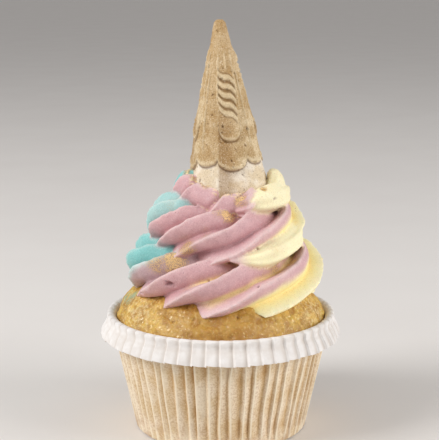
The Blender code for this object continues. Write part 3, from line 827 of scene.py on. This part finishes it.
# %% Roughen the crests
def roughen(item, travels, points, samples, seed):
    """Tears the crests of a sweep, and gives each vertex's travel and its place in the star."""
    places = places_of(item)
    round_star = points * samples
    caps = len(places) - len(travels) * round_star
    swept = places[caps:]
    section = np.repeat(np.arange(len(travels)), round_star)
    pitch = np.tile(np.arange(round_star) / samples, len(travels))
    centres = path_at(travels)[section]
    spread = np.linalg.norm(swept - centres, axis=1)
    out = (swept - centres) / np.maximum(spread, 0.01)[:, None]
    teeth = np.array([chance.uniform(-1.0, 1.0) for _ in range(len(travels) * points)])
    teeth = (teeth + np.roll(teeth, points)) * 0.6
    sunk = 1.0 - spread / station(travels, ROPE_RADIUS)[section]
    teeth = teeth[section * points + pitch.astype(int)]
    from_crest = np.minimum(pitch % 1.0, 1.0 - pitch % 1.0) * 6.0 / points
    swell = 0.45 * rough(swept, 6.0, seed) + 0.2 * rough(swept, 2.5, seed + 1.0)
    swept = swept + out * (np.exp(-((from_crest / 0.07) ** 2)) * teeth * 0.3 + swell)[:, None]
    put_places(item, np.vstack([places[:caps], swept]))
    print(item.name, "reaches", round(float(spread.max()), 2), "mm from its middle")
    return swept, travels[section], pitch, sunk


torn_star = roughen(rope, star_travels, STAR_POINTS, STAR_SAMPLES, 20.0)
torn_folds = roughen(folds, fold_travels, FOLD_POINTS, FOLD_SAMPLES, 24.0)
star_places, star_travel, star_pitch, star_sunk = torn_star
fold_places, fold_travel, fold_pitch, fold_sunk = torn_folds

# %% [markdown]
# A swept rope overlaps itself where a turn lies on the one below, and its middle is hollow. A
# plain turned core fills the hollow, and a voxel remesh fuses rope, torn end and core into one
# closed skin, as soft cream fuses. Then the sponge and the cone are taken out of it with copies
# of their plain models, so the swirl really sits on the one and holds the other. The copy of the
# cone is a little slimmer, because cream is pressed into the cone's flutes.

# %% Fuse the swirl
MOST_TRIANGLES = 190000
core_outline = [(16.5, 37.0), (16.2, 42.0), (15.5, 46.0), (12.5, 60.0), (7.0, 67.6), (2.0, 68.2)]
core = grow_rings("cream_core", 48, core_outline, close_top=True)
pick(core)
for part in (rope, folds, peak, curl, horn, sagging):
    part.select_set(True)
bpy.context.view_layer.objects.active = rope
bpy.ops.object.join()
cream = bpy.context.object
cream.name = "piped_cream_swirl"
cream.data.name = "piped_cream_swirl"
voxel = 0.34
apply_modifier(cream, "REMESH", mode="VOXEL", voxel_size=voxel * MM, use_smooth_shade=True)
apply_modifier(cream, "SMOOTH", factor=0.3, iterations=1)
print("fused swirl:", triangles(cream), "triangles")


# %% Cut the swirl to its neighbours
def cut_with(item, node_name, slimmer=1.0):
    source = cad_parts[node_name]
    knife = source.copy()
    knife.data = source.data.copy()
    knife.parent = None
    knife.hide_viewport = False
    bpy.context.scene.collection.objects.link(knife)
    pick(knife)
    bpy.ops.object.mode_set(mode="EDIT")
    bpy.ops.mesh.select_all(action="SELECT")
    bpy.ops.mesh.remove_doubles(threshold=0.01 * MM)
    bpy.ops.transform.resize(value=(slimmer, slimmer, 1), center_override=(1.9 * MM, 0, 0))
    bpy.ops.object.mode_set(mode="OBJECT")
    apply_modifier(item, "BOOLEAN", operation="DIFFERENCE", solver="EXACT", object=knife)
    bpy.data.objects.remove(knife, do_unlink=True)


cut_with(cream, "sponge_cake")
cut_with(cream, "wafer_cone", slimmer=0.89)
kept_share = min(1.0, MOST_TRIANGLES / triangles(cream))
apply_modifier(cream, "DECIMATE", ratio=kept_share, use_collapse_triangulate=True)
print("cut swirl:", triangles(cream), "triangles")

# %% [markdown]
# Each vertex of the skin now looks up the nearest vertices of the swept rope. That gives it a
# number that grows by one from each crest to the next along the whole rope: 6.0 is on one
# crest, 7.0 on the next one down, and 6.7 is in the groove between them. Only the swept vertices
# that came to lie on the skin are asked, because the others are buried where one turn lies on
# the next. Colour and gold dust follow that number, so they run along the ridges and not across.

# %% Which ridge each point lies on
BARED_WITHIN = 0.6
star_at = np.interp(star_travel, CREST_TRAVELS, np.arange(len(CREST_TRAVELS)))
star_ridge = star_at + 1.0 - ((star_at + star_pitch + 0.5) % STAR_POINTS - 0.5)
fold_at = np.interp(fold_travel, FOLD_TRAVELS, FOLDS_GONE)
fold_ridge = fold_at - ((fold_at + fold_pitch + 1.0) % FOLD_POINTS - 1.0)
across_peak = np.clip((end_places[:, 0] - 4.2) / 4.2, 0.0, 1.0)
end_ridge = np.repeat([0.0, 30.6, 30.6, 21.0], end_counts)
end_ridge[: end_counts[0]] = 29.6 + 0.46 * across_peak[: end_counts[0]]
ridge_at = np.concatenate([star_ridge, fold_ridge, end_ridge])
known = np.vstack([star_places, fold_places, end_places])
star_deep = star_sunk / (1.0 - STAR_GROOVE)
fold_deep = fold_sunk / (1.0 - FOLD_GROOVE)
sunk_at = np.concatenate([star_deep, fold_deep, 0.0 * end_ridge])
skin = places_of(cream)
skin_tree = kdtree.KDTree(len(skin))
for index, place in enumerate(skin):
    skin_tree.insert(place, index)
skin_tree.balance()
bared = [index for index, place in enumerate(known) if skin_tree.find(place)[2] < BARED_WITHIN]
tree = kdtree.KDTree(len(bared))
for index in bared:
    tree.insert(known[index], index)
tree.balance()
print(len(bared), "of", len(known), "swept vertices lie on the skin")


def ridge_of(place):
    """The ridge number of a point of the skin, blended from the nearest points of the sweep."""
    found = tree.find_n(place, 4)
    first = ridge_at[found[0][1]]
    total = 0.0
    weight = 0.0
    for _, index, away in found:
        if abs(ridge_at[index] - first) < 0.4:
            share = 1.0 / (away + 0.05)
            total += share * ridge_at[index]
            weight += share
    return total / weight


skin_ridge = np.array([ridge_of(place) for place in skin])
skin_sunk = np.clip([sunk_at[tree.find(place)[1]] for place in skin], 0.0, 1.0)
print("ridge numbers from", round(float(skin_ridge.min()), 2), "to", round(float(skin_ridge.max()), 2))

# %% [markdown]
# Whipped cream holds air, and where a bubble meets the surface it leaves a small torn pit. The
# large ones are listed and some smaller ones are strewn by chance, and both are modelled by
# pushing in the vertices round their middles. The pinholes are left to the finish, which paints
# them dark as shade, as it does the pits.

# %% Press in the air pits
# Each pit is: its middle, its radius and its depth.
PITS = [((-13.7, -20.9, 47.3), 1.5, 1.5), ((-16.6, -20.0, 47.2), 0.8, 0.8), ((-22.3, -14.7, 43.1), 1.0, 0.9)]
PITS += [((11.9, -11.4, 71.6), 1.0, 1.1), ((-8.2, -14.6, 67.4), 0.7, 0.7)]
PITS += [((-1.3, -21.3, 60.5), 0.8, 0.8), ((-8.8, -23.8, 41.3), 0.8, 0.5), ((-3.5, -25.5, 43.0), 0.5, 0.5)]


def press_pits(item):
    places = places_of(item)
    normals = normals_of(item)
    torn = 0.45 * rough(places, 0.9, 31.0)
    pitted = np.zeros(len(places))
    for _ in range(26):
        middle = places[chance.randrange(len(places))]
        PITS.append((tuple(middle), chance.uniform(0.35, 0.6), chance.uniform(0.25, 0.5)))
    for middle, size, depth in PITS:
        away = np.linalg.norm(places - np.array(middle), axis=1) / size + torn
        dip = ease(1.15, 0.35, away)
        places = places - normals * (dip * depth)[:, None]
        pitted = np.maximum(pitted, dip)
    put_places(item, places)
    give_attribute(item, "pitted", pitted)
    print("vertices in pits:", int((pitted > 0.1).sum()))


press_pits(cream)

# %% [markdown]
# The piping bag was filled with three colours side by side, so a colour keeps to a run of
# ridges and changes in steps that are soft across a ridge and sharp along it. The bands below
# are listed by the ridge number where each one starts. Two thin streaks of yellow lie in the
# lowest valleys, the tip of the sagging fold fades into the mauve beside it, and the grooves get
# a painted shade, darker and warmer than the crests. All of it is stored on the vertices as a
# colour, because no texture could know which ridge it lies on.

# %% Colour the ridges
TURQUOISE = np.array(screen(132, 200, 198))
LIGHT_TURQUOISE = np.array(screen(168, 212, 210))
PALE_TURQUOISE = np.array(screen(190, 218, 218))
MAUVE = np.array(screen(209, 167, 171))
GREYED_MAUVE = np.array(screen(190, 164, 168))
YELLOW = np.array(screen(254, 244, 184))
PALE_YELLOW = np.array(screen(248, 238, 196))
# Each band is: the ridge number where it starts, how soft its start is, its colour.
BANDS = [(-20.0, 0.1, TURQUOISE), (4.98, 0.1, PALE_TURQUOISE), (5.12, 0.12, GREYED_MAUVE), (5.85, 0.1, MAUVE)]
BANDS += [(8.33, 0.14, YELLOW), (13.0, 0.2, LIGHT_TURQUOISE), (15.75, 0.2, MAUVE), (19.35, 0.16, YELLOW)]
BANDS += [(23.8, 0.25, TURQUOISE), (26.7, 0.2, MAUVE), (30.08, 0.06, PALE_YELLOW)]
# Each line is: ridge number, half width, and where along x it fades in and out.
YELLOW_LINES = [(6.75, 0.15, -12.0, -4.0, 40.0), (7.7, 0.15, -9.0, 0.0, 40.0)]
COLOUR_BLURS = 3
# The sagging fold's ridges, and how far forward its skin starts, in millimetres.
SAG_RIDGES = (19.5, 20.2, 22.0, 23.0)
SAG_FRONT = (-16.0, -18.0)
# How much red, green and blue the painted shade takes away in the deepest grooves.
MAUVE_GROOVE_SHADE = np.array([0.14, 0.26, 0.25])
YELLOW_GROOVE_SHADE = np.array([0.0, 0.17, 0.42])


def blurred(item, table):
    """The same table with each vertex's row averaged with its neighbours' rows."""
    ends = np.empty(len(item.data.edges) * 2, dtype=np.int32)
    item.data.edges.foreach_get("vertices", ends)
    first, second = ends.reshape(-1, 2).T
    total = table.copy()
    np.add.at(total, first, table[second])
    np.add.at(total, second, table[first])
    count = 1 + np.bincount(ends, minlength=len(table))
    return total / count[:, None]


def colour_ridges(item, ridge):
    places = places_of(item)
    wander = 0.09 * rough(places, 5.0, 41.0) + 0.035 * rough(places, 1.2, 42.0)
    follow = ridge + wander
    colour = np.tile(BANDS[0][2], (len(places), 1))
    for start, soft, tone in BANDS[1:]:
        share = ease(start - soft, start + soft, follow)[:, None]
        colour = colour * (1.0 - share) + tone * share
    for middle, half, low, full, end in YELLOW_LINES:
        along = ease(low, full, places[:, 0]) * ease(end, end - 3.0, places[:, 0])
        share = (ease(half, 0.2 * half, np.abs(follow - middle)) * along * 0.75)[:, None]
        colour = colour * (1.0 - share) + YELLOW * share
    start, full, fading, end = SAG_RIDGES
    on_tip = ease(start, full, ridge) * ease(end, fading, ridge) * ease(*SAG_FRONT, places[:, 1])
    share = (on_tip * ease(8.5, 3.5, places[:, 0] + 8.0 * wander))[:, None]
    colour = colour * (1.0 - share) + MAUVE * share
    # Painted shade: the deeper a point lies in a groove, the more colour is taken away.
    deep = skin_sunk[:, None] ** 2
    yellowness = np.clip((colour[:, 1:2] - colour[:, 2:3]) / 0.4, 0.0, 1.0)
    lost = (1.0 - yellowness) * MAUVE_GROOVE_SHADE + yellowness * YELLOW_GROOVE_SHADE
    colour[:, :3] *= 1.0 - deep * lost
    for _ in range(COLOUR_BLURS):
        colour = blurred(item, colour)
    layer = item.data.attributes.new("tint", "FLOAT_COLOR", "POINT")
    layer.data.foreach_set("color", colour.astype(np.float32).ravel())
    # The crest value marks the crest lines, which the finish lightens as a painted highlight.
    crest = np.abs(ridge - np.round(ridge))
    give_attribute(item, "crest", ease(0.16, 0.0, crest))


colour_ridges(cream, skin_ridge)

# %% [markdown]
# Edible gold was dusted over the finished swirl from the front. It has caught on a few ridges
# and collected in the channels between them, so each patch below is a soft ball that reaches
# only the ridges it was dusted on. Crumbs broke off the wafer where it was pushed in, so the
# cream along the cone's foot is raised into small grains as well.

# %% Dust with gold
# Each patch is: its middle, its radius, its strength, and the first and last ridge it reaches.
DUST = [((-17.5, -15.3, 51.8), 4.6, 0.7, 5.0, 5.9), ((-12.5, -16.5, 52.0), 5.2, 1.0, 5.0, 5.95)]
DUST += [((-8.9, -21.5, 51.9), 4.0, 0.6, 5.2, 5.98), ((-0.8, -15.7, 66.1), 3.2, 0.6, 16.4, 17.9)]
DUST += [((2.9, -16.6, 65.9), 3.8, 1.0, 16.4, 18.0), ((-9.6, -19.0, 56.8), 3.8, 0.8, 17.3, 19.0)]
DUST += [((-4.6, -20.6, 61.4), 3.0, 0.4, 16.6, 18.0), ((12.8, -22.1, 48.5), 3.6, 0.5, 7.4, 7.85)]
DUST += [((16.0, -18.5, 51.0), 4.4, 0.8, 6.95, 7.9), ((20.5, -14.5, 52.5), 4.4, 1.0, 6.95, 7.95)]
DUST += [((14.8, -19.6, 57.0), 4.6, 0.25, 20.3, 22.0), ((-13.5, -6.5, 66.0), 4.0, 0.3, 13.0, 15.8)]
DUST += [((5.6, -14.0, 68.6), 2.8, 0.9, 26.0, 30.0), ((11.9, -11.4, 71.6), 1.3, 1.0, 30.1, 32.0)]
CRUMBLED_WITHIN = 1.3


def dust_gold(item, ridge):
    places = places_of(item)
    gold = np.zeros(len(places))
    uneven = 0.25 * rough(places, 2.5, 51.0)
    for middle, size, strength, first, last in DUST:
        away = np.linalg.norm(places - np.array(middle), axis=1) / size + uneven
        reached = ease(first - 0.15, first + 0.1, ridge) * ease(last + 0.1, last - 0.1, ridge)
        gold = np.maximum(gold, strength * ease(1.1, 0.3, away) * reached)
    down = (CONE_TIP[2] - places[:, 2]) / math.cos(lean)
    axis = CONE_TIP[0] - math.sin(lean) * down
    from_cone = np.hypot(places[:, 0] - axis, places[:, 1]) - cone_radius(down) - 0.3
    crumbs = ease(CRUMBLED_WITHIN, 0.3, from_cone + 1.2 * uneven) * (places[:, 2] > 64.0)
    fine = rough(places, 0.7, 52.0)
    places = places + normals_of(item) * (0.5 * crumbs * np.clip(fine, -0.3, 1.0))[:, None]
    put_places(item, places)
    gold = np.maximum(gold, 0.75 * crumbs * ease(-0.2, 0.3, rough(places, 2.2, 53.0)))
    give_attribute(item, "crumbs", crumbs * ease(0.0, 0.35, fine))
    give_attribute(item, "gold", gold)
    print("vertices with gold:", int((gold > 0.1).sum()))


dust_gold(cream, skin_ridge)
finish_piece(cream, "piped_cream", 180)

# %% [markdown]
# ** Its finish.** Buttercream is soft and slightly glossy, and light goes a little way into it,
# which is what keeps its shadows warm. Sugar gives it a very fine grain. The colour comes from
# the vertices, the crests get a painted highlight, the pits and pinholes are painted dark as
# shade, and the gold shows as separate glittering grains on a brown dust, more of them where
# more of it fell.

# %% Buttercream
butter = Finish("piped_buttercream")
tint = butter.add("ShaderNodeAttribute", attribute_name="tint").outputs["Color"]
sugar = butter.grain(0.35, 2.0, 0.7)
cloud = butter.grain(2.6, 3.0)
tone = butter.mix(butter.reach(cloud, 0.4, 0.64, 0.0, 0.22), tint, screen(250, 240, 236), "SOFT_LIGHT")
tone = butter.mix(butter.reach(sugar, 0.46, 0.34, 0.0, 0.2), tone, screen(130, 88, 88))
tone = butter.mix(butter.reach(sugar, 0.56, 0.68, 0.0, 0.18), tone, screen(255, 246, 238))
# Painted highlight on the crests.
tone = butter.mix(butter.sum("MULTIPLY", butter.per_vertex("crest"), 0.26), tone, screen(255, 246, 238))
# Painted shade: the pits and pinholes are darkened.
pinholes = butter.reach(butter.cells(1.7), 0.1, 0.05)
pinholes = butter.sum("MULTIPLY", pinholes, butter.reach(butter.grain(1.3, 1.0), 0.56, 0.6))
holes = butter.sum("MAXIMUM", butter.per_vertex("pitted"), pinholes)
tone = butter.mix(butter.sum("MULTIPLY", holes, 0.7), tone, screen(128, 74, 74))
gold = butter.per_vertex("gold")
dusty = butter.grain(0.3, 3.0, 0.85)
thick = butter.sum("ADD", butter.sum("MULTIPLY", gold, 0.22), dusty)
speck = butter.sum("MULTIPLY", butter.reach(thick, 0.62, 0.7), butter.reach(gold, 0.02, 0.3))
haze = butter.sum("MULTIPLY", gold, butter.reach(butter.grain(1.2, 3.0, 0.7), 0.35, 0.65, 0.25, 0.6))
tone = butter.mix(haze, tone, screen(176, 132, 100))
dim = butter.sum("MULTIPLY", butter.reach(dusty, 0.5, 0.36), butter.reach(gold, 0.3, 0.9, 0.0, 0.6))
tone = butter.mix(dim, tone, screen(124, 84, 52))
tone = butter.mix(butter.sum("MULTIPLY", speck, 0.8), tone, screen(240, 206, 140))
tone = butter.mix(butter.sum("MULTIPLY", butter.per_vertex("crumbs"), 0.85), tone, screen(248, 226, 178))
butter.feed(butter.shader.inputs["Base Color"], tone)
butter.feed(butter.shader.inputs["Metallic"], butter.sum("MULTIPLY", speck, 0.5))
butter.feed(butter.shader.inputs["Roughness"], butter.reach(sugar, 0.3, 0.7, 0.62, 0.46))
butter.shader.inputs["Specular IOR Level"].default_value = 0.4
butter.shader.inputs["Subsurface Weight"].default_value = 0.15
butter.shader.inputs["Subsurface Radius"].default_value = (1.0, 0.6, 0.5)
butter.shader.inputs["Subsurface Scale"].default_value = 1.2 * MM
butter.bumps((butter.grain(0.3, 2.0, 0.7), 0.06), (butter.grain(1.1, 2.0), 0.12), (speck, 0.03))
butter.on(cream)

# %% [markdown]
# **Floor and light.** The floor is a plain pale sheet, so large that its edge never shows. The
# photo is lit by a big soft window at the upper left, with the room filling in from the right.
# One large area light, a weaker and wider one and a pale sky repeat that.

# %% Floor, light and sky
FLOOR_SIZE = 40000.0
FLOOR_BELOW = 0.2
select_nothing()
bpy.ops.mesh.primitive_plane_add(size=FLOOR_SIZE * MM, location=(0, 0, -FLOOR_BELOW * MM))
floor = bpy.context.object
floor.name = "pale_floor"
ground = Finish("pale_floor")
pale = ground.mix(ground.grain(60.0, 2.0), screen(226, 222, 219), screen(232, 229, 226))
ground.feed(ground.shader.inputs["Base Color"], pale)
ground.shader.inputs["Roughness"].default_value = 0.85
ground.on(floor)


def area_light(name, place, size, power, colour):
    select_nothing()
    bpy.ops.object.light_add(type="AREA", location=[v * MM for v in place])
    lamp = bpy.context.object
    lamp.name = name
    lamp.data.size = size * MM
    lamp.data.energy = power
    lamp.data.color = colour
    aim = Vector((0, 0, 60)) - Vector(place)
    lamp.rotation_euler = aim.to_track_quat("-Z", "Y").to_euler()


area_light("window_upper_left", (-760.0, -330.0, 640.0), 480.0, 7.6, (1.0, 0.99, 0.975))
area_light("room_right", (840.0, -300.0, 420.0), 620.0, 5.8, (1.0, 0.985, 0.97))
sky = bpy.data.worlds.new("pale_sky")
sky.use_nodes = True
sky.node_tree.nodes["Background"].inputs["Color"].default_value = (1.0, 0.98, 0.97, 1.0)
sky.node_tree.nodes["Background"].inputs["Strength"].default_value = 0.4
bpy.context.scene.world = sky
bpy.context.scene.view_settings.view_transform = "Standard"

# %% [markdown]
# **Camera.** It stands a third of a metre in front, a little higher than the cone's tip, and
# looks down by eleven and a half degrees, which makes the ovals of the case's rim and floor as
# open as they are in the photo.

# %% Camera
select_nothing()
camera_place = (-0.37 * MM, -343.0 * MM, 130.4 * MM)
bpy.ops.object.camera_add(location=camera_place, rotation=(math.radians(78.5), 0, 0))
camera = bpy.context.object
camera.name = "photo_camera"
camera.data.lens = 99.2
camera.data.sensor_width = 36.0
camera.data.clip_start = 10.0 * MM
bpy.context.scene.camera = camera
